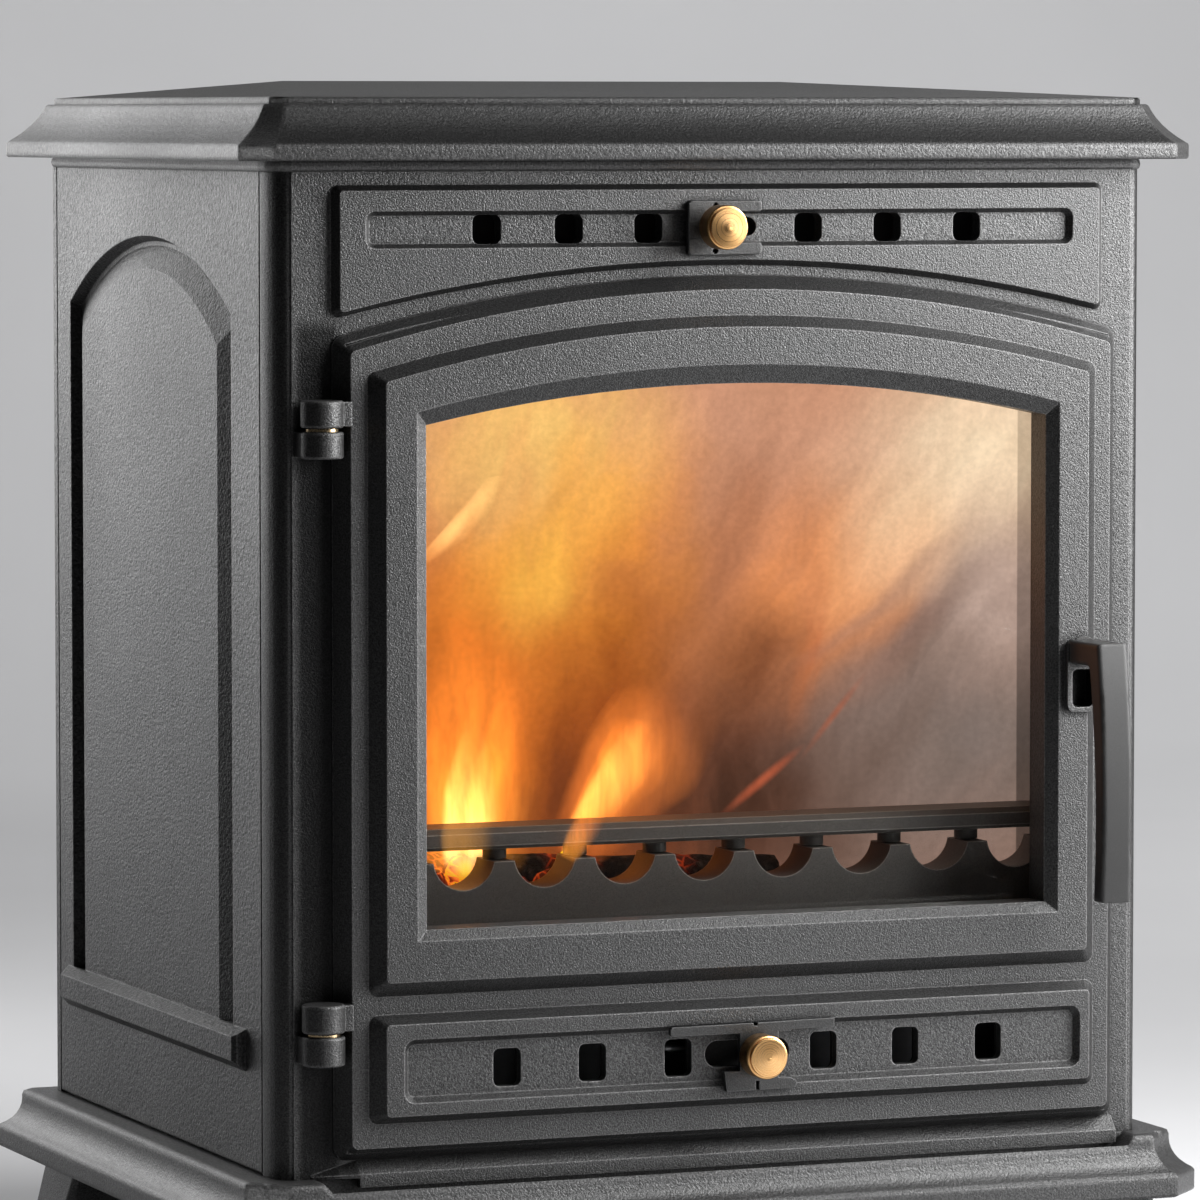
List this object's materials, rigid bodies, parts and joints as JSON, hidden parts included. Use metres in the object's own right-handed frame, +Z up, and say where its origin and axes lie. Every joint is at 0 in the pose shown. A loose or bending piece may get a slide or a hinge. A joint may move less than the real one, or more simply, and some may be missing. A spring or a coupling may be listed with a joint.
{
  "type": "cast iron wood stove",
  "caption": "Free-standing cast iron wood stove with an arched glass door, sliding air vents with brass knobs, a moulded top and plinth and square tapered feet.",
  "frame": {"origin": "bottom centre of the whole stove's box, on the floor under the feet", "axes": "+Z up, +Y from the door to the back, +X to the right as seen from the front"},
  "size_m": [0.556, 0.489, 0.68],
  "materials": {
    "cast_iron": "matt stove paint over sand-cast grain",
    "steel": "zinc plated",
    "sheet_steel": "heat-dulled sheet",
    "brass": "turned and polished",
    "firebrick": "rough, sooted",
    "glass": "clear heat-proof glass",
    "rope_seal": "woven glass-fibre rope",
    "handle_metal": "satin",
    "slide_metal": "satin black"
  },
  "bodies": {
    "root": {"base_plinth": "cast_iron", "leg_front_left": "cast_iron", "leg_front_right": "cast_iron", "leg_rear_left": "cast_iron", "leg_rear_right": "cast_iron", "leg_bolts": "steel", "front_frame": "cast_iron", "side_panel_left": "cast_iron", "side_panel_right": "cast_iron", "back_panel": "cast_iron", "flue_collar": "cast_iron", "flue_collar_bolts": "steel", "top_plate": "cast_iron", "tie_rods": "steel", "tie_rod_nuts": "steel", "firebrick_left": "firebrick", "firebrick_right": "firebrick", "firebrick_rear": "firebrick", "baffle_plate": "sheet_steel", "firebox_floor": "cast_iron", "ash_side_plates": "cast_iron", "grate": "cast_iron", "ash_floor": "sheet_steel", "ash_pan": "sheet_steel", "ash_pan_handle": "sheet_steel", "log_guard": "cast_iron", "air_wash_plate": "sheet_steel", "hinge_pins": "steel", "hinge_washers": "brass", "upper_air_guides": "sheet_steel", "upper_air_guide_screws": "steel"},
    "door": {"door": "cast_iron", "handle_bush": "steel", "door_glass": "glass", "glass_gasket": "rope_seal", "glass_clips": "steel", "glass_clip_screws": "steel", "door_seal": "rope_seal", "lower_air_guides": "sheet_steel", "lower_air_guide_screws": "steel"},
    "handle": {"handle_grip": "handle_metal", "handle_spindle": "steel", "latch_cam": "steel", "latch_nut": "steel"},
    "upper_air": {"upper_air_shutter": "sheet_steel", "upper_air_slide_plate": "slide_metal", "upper_air_stud": "steel", "upper_air_knob": "brass"},
    "lower_air": {"lower_air_shutter": "sheet_steel", "lower_air_slide_plate": "slide_metal", "lower_air_stud": "steel", "lower_air_knob": "brass"}
  },
  "joints": [
    {"name": "door_hinge", "type": "hinge", "parent": "root", "child": "door", "pos_m": [-0.2283, -0.1905, 0.342], "axis": [0, 0, -1], "range_deg": [0, 110]},
    {"name": "handle_turn", "type": "hinge", "parent": "door", "child": "handle", "pos_m": [0.202, -0.1985, 0.3738], "axis": [0, -1, 0], "range_deg": [0, 75]},
    {"name": "upper_air_slide", "type": "slide", "parent": "root", "child": "upper_air", "axis": [1, 0, 0], "range_m": [0, 0.02]},
    {"name": "lower_air_slide", "type": "slide", "parent": "door", "child": "lower_air", "axis": [-1, 0, 0], "range_m": [0, 0.02]}
  ]
}
